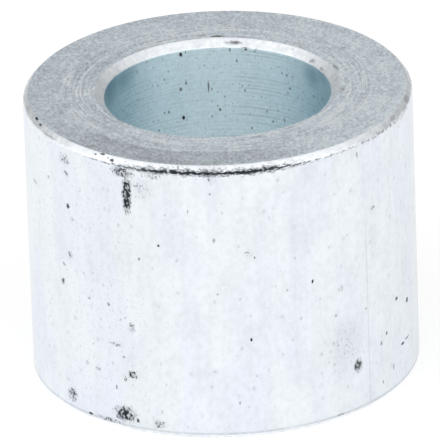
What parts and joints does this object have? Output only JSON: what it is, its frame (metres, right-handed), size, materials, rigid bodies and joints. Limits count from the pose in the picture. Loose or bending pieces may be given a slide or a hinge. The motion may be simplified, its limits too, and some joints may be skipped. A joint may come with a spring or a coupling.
{
  "type": "spacer sleeve",
  "caption": "Short round steel spacer sleeve with a straight through bore and chamfered edges, slipped over a bolt to hold parts a set distance apart.",
  "frame": {"origin": "centre of the parted end face, on the axis of the bore", "axes": "+Z along the bore, towards the faced end with the larger outer chamfer; X and Y are any pair across it, as the sleeve is round"},
  "size_m": [0.018, 0.018, 0.0137],
  "materials": {
    "zinc_plated_steel": "bright zinc plate over drawn bar outside, turned faces and bore"
  },
  "bodies": {
    "root": {"spacer_sleeve": "zinc_plated_steel"}
  },
  "joints": []
}
